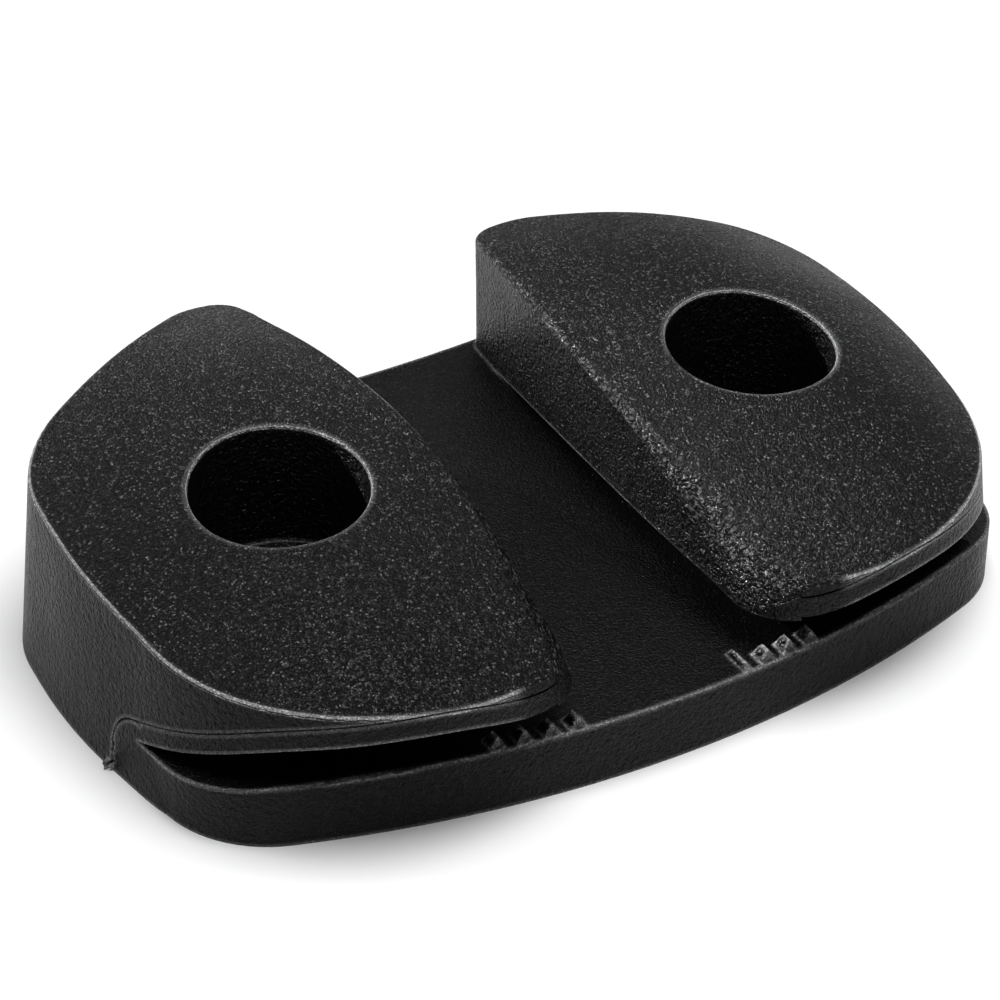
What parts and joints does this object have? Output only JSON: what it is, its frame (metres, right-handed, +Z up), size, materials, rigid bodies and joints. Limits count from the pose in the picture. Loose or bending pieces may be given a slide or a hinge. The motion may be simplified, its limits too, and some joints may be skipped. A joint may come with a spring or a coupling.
{
  "type": "zig zag cleat",
  "caption": "Screw-down rope cleat moulded in black nylon: crowned bosses flank a rope channel and overhang toothed slots at the front, so a zig zag turn of line jams.",
  "frame": {"origin": "midway between the two screw holes, on the underside of the plate", "axes": "+Z up away from the deck, X from hole to hole, -Y towards the toothed slots where the rope leaves"},
  "size_m": [0.0545, 0.0389, 0.0134],
  "materials": {
    "black_nylon": "satin matte black with a fine moulded grain"
  },
  "bodies": {
    "root": {"cleat_body": "black_nylon"}
  },
  "joints": []
}
